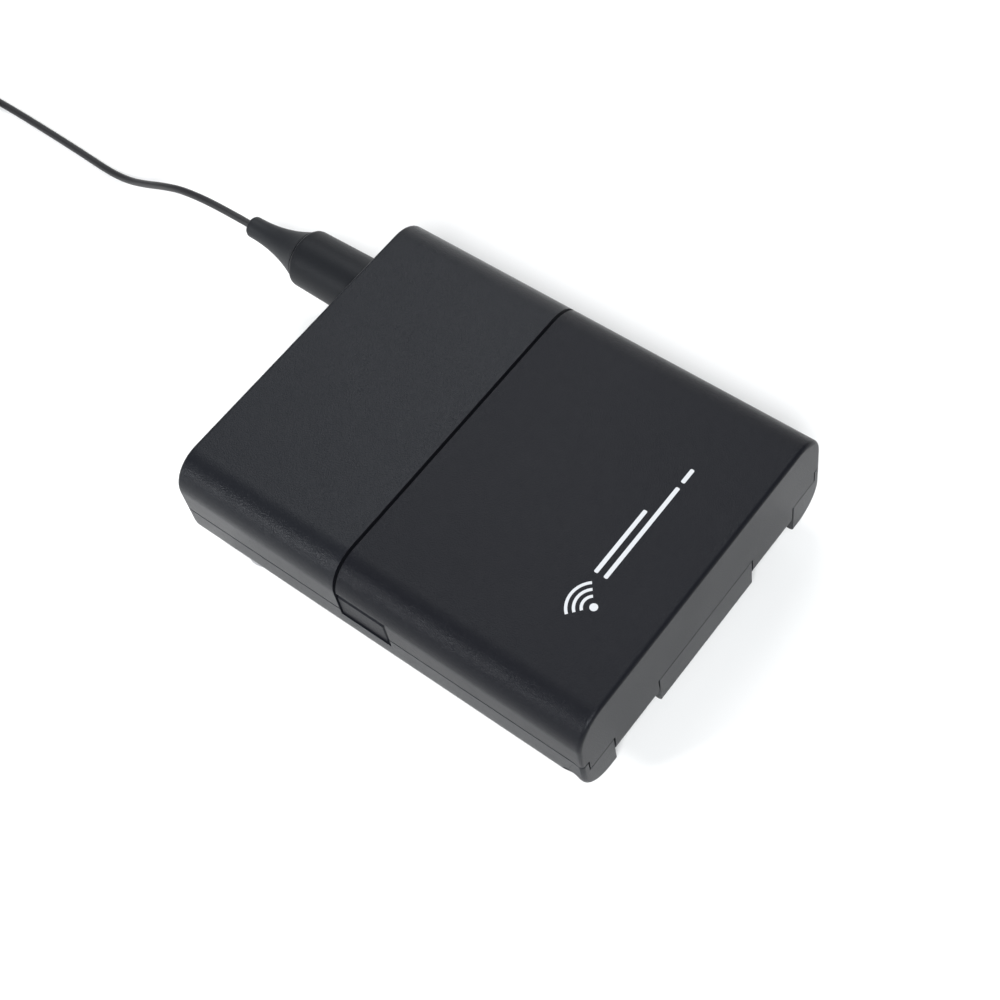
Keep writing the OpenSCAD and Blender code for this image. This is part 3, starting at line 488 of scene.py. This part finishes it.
plate_lo, plate_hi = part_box("rating_plate")
ROW_TOP, ROW_PITCH, ROW_HALF, ROW_MARGIN = 3.2, 2.6, 0.45, 2
rows = []
for i, row_length in enumerate((17, 24, 13, 21, 9)):
    x = plate_lo.x * 1000 + ROW_MARGIN
    y = plate_hi.y * 1000 - ROW_TOP - ROW_PITCH * i
    rows.append(bar(x, y - ROW_HALF, x + row_length, y + ROW_HALF, 0.2, 3))
prisms("plate_print", rows, plate_lo.z - INK, plate_lo.z + SUNK,
       black_steel_mat, "case")


PAD_ROUND = 0.0012  # radius of the rounded edge
PAD_RIM = 0.0002  # thickness of the rim
PAD_DROP = 0.85  # how far the edge falls towards the rim
PAD_CLEAR, PAD_SWELL = 0.1, 0.22  # parts of the thickness: free over the middle, lost to the crown
PAD_WAVE = 0.00003


def pad(name, node, nx=44, ny=30):
    """Foam pad inside the cover: crowned sheet with rounded edges, flat where it is glued."""
    lo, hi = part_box(node)
    size = hi - lo
    bm = bmesh.new()
    grids = []
    for side in (0, 1):
        grid = []
        for i in range(nx + 1):
            row = []
            for j in range(ny + 1):
                u, v = i / nx, j / ny
                near = min(min(u, 1 - u) * size.x, min(v, 1 - v) * size.y)
                fall = 1 - math.sqrt(max(0.0, 1 - max(0.0, 1 - near / PAD_ROUND) ** 2))
                x = lo.x + size.x * u
                y = lo.y + size.y * v
                z = hi.z
                if not side:
                    crown = (abs(2 * u - 1) ** 4 + abs(2 * v - 1) ** 4) / 2
                    z = lo.z + size.z * (PAD_CLEAR + PAD_SWELL * crown)
                    z += (hi.z - PAD_RIM - z) * fall * PAD_DROP
                    z += PAD_WAVE * math.sin(x * 900 + 1.3) * math.sin(y * 1100)
                row.append(bm.verts.new((x, y, z)))
            grid.append(row)
        grids.append(grid)
    for side, grid in enumerate(grids):
        for i in range(nx):
            for j in range(ny):
                quad = [grid[i][j], grid[i + 1][j], grid[i + 1][j + 1], grid[i][j + 1]]
                bm.faces.new(quad if side else quad[::-1])
    low, top = grids
    rim = [(i, 0) for i in range(nx)] + [(nx, j) for j in range(ny)]
    rim += [(i, ny) for i in range(nx, 0, -1)] + [(0, j) for j in range(ny, 0, -1)]
    for (i, j), (k, m) in zip(rim, rim[1:] + rim[:1]):
        bm.faces.new([low[i][j], low[k][m], top[k][m], top[i][j]])
    bmesh.ops.recalc_face_normals(bm, faces=bm.faces)
    mesh = bpy.data.meshes.new(name)
    bm.to_mesh(mesh)
    bm.free()
    mesh.shade_smooth()
    obj = link(bpy.data.objects.new(name, mesh))
    obj.data.materials.append(by_slot["foam"])
    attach(obj, "cover")
    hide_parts(node)
    return obj


pad("foam_pad", "cover_pad")


STRAP_T, STRAP_HALF, STRAP_CORNER = 0.28, 2.3, 1.0  # thickness, half width, bend, in mm
STRAP_IN, STRAP_OUT, STRAP_UP = 0.42, 0.5, 0.58  # how far it stands off the winding, in mm
STRAP_Z = 0.02
STRAP_EDGE = 0.07  # how much each face thins towards the tape's edges
STRAP_AT = math.radians(135)


def strap():
    """Hook-and-loop strap round the winding."""
    wide = COIL["cols"] * CORD_MM / 2
    r0, r1 = COIL["turn_r"] - wide - STRAP_IN, COIL["turn_r"] + wide + STRAP_OUT
    z0, z1 = STRAP_Z, COIL["z0"] + (COIL["layers"] - 0.5) * CORD_MM + STRAP_UP
    corner, half = STRAP_CORNER, STRAP_HALF
    path = []
    for cx, cz, start in ((r1 - corner, z1 - corner, 0), (r0 + corner, z1 - corner, 90),
                          (r0 + corner, z0 + corner, 180), (r1 - corner, z0 + corner, 270)):
        for k in range(9):
            a = math.radians(start + 90 * k / 8)
            path.append((cx + corner * math.cos(a), cz + corner * math.sin(a),
                         math.cos(a), math.sin(a)))
    across = [-half + 2 * half * j / 8 for j in range(9)]
    cos_at, sin_at = math.cos(STRAP_AT), math.sin(STRAP_AT)
    verts, faces = [], []
    n = len(path)
    for px, pz, nx, nz in path:
        for inset, thins in ((0, 1), (STRAP_T, -1)):
            for w in across:
                depth = inset + thins * STRAP_EDGE * (abs(w) / half) ** 6
                r, z = px - nx * depth, pz - nz * depth
                verts.append(((COIL["x"] + r * cos_at - w * sin_at) / 1000,
                              (COIL["y"] + r * sin_at + w * cos_at) / 1000, z / 1000))
    m = len(across)
    step = 2 * m
    for i in range(n):
        a, b = i * step, ((i + 1) % n) * step
        for j in range(m - 1):
            faces.append([a + j, a + j + 1, b + j + 1, b + j])
            faces.append([a + m + j, b + m + j, b + m + j + 1, a + m + j + 1])
        faces.append([a, b, b + m, a + m])
        faces.append([a + m - 1, a + step - 1, b + step - 1, b + m - 1])
    obj = solid("coil_strap", verts, faces, strap_material(), "case")
    obj.data.shade_smooth()
    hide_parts("coil_tie")
    return obj


coil_strap = strap()


# ---------- floor, light ----------

FLOOR_HALF = 3
floor_mesh = bpy.data.meshes.new("floor")
floor_mesh.from_pydata([(x * FLOOR_HALF, y * FLOOR_HALF, 0)
                        for x, y in ((-1, -1), (1, -1), (1, 1), (-1, 1))], [], [(0, 1, 2, 3)])
floor = link(bpy.data.objects.new("floor", floor_mesh))
floor.data.materials.append(material("floor", (0.92, 0.92, 0.92), 0.9)[0])

world = bpy.data.worlds.new("studio")
world.use_nodes = True
world.node_tree.nodes["Background"].inputs["Color"].default_value = (0.93, 0.96, 1, 1)
world.node_tree.nodes["Background"].inputs["Strength"].default_value = 0.12
scene.world = world


def place(name, light, toward, distance, target):
    """Put a light at that distance from its target, aimed at it."""
    obj = link(bpy.data.objects.new(name, light))
    obj.location = Vector(target) + Vector(toward).normalized() * distance
    obj.rotation_euler = (Vector(target) - obj.location).to_track_quat("-Z", "Y").to_euler()


def softbox(name, toward, distance, side, watts, target=(0, 0, 0.015)):
    """Square area light in the given direction from its target."""
    light = bpy.data.lights.new(name, "AREA")
    light.shape = "SQUARE"
    light.size = side
    light.energy = watts
    place(name, light, toward, distance, target)


# the highlight along the near edge, the front face's sheen, the far edge's sheen
softbox("band", (-0.805, 0.404, 0.435), 1.1, 0.16, 4.8, target=(-0.03, -0.012, 0.02))
softbox("overhead", (0.348, 0.404, 0.846), 1.2, 0.6, 5.4)
softbox("right", (0.85, 0.404, 0.34), 1.1, 0.45, 2.2)

# a pool of light on the floor, from beside the camera
pool = bpy.data.lights.new("pool", "SPOT")
pool.energy = 101
pool.color = (0.975, 0.993, 1.0)
pool.spot_size = math.radians(60)
pool.spot_blend = 0.5
pool.shadow_soft_size = 0.3
place("pool", pool, (-0.46, -0.42, 0.78), 1.5, (0.0, 0.02, 0.0))
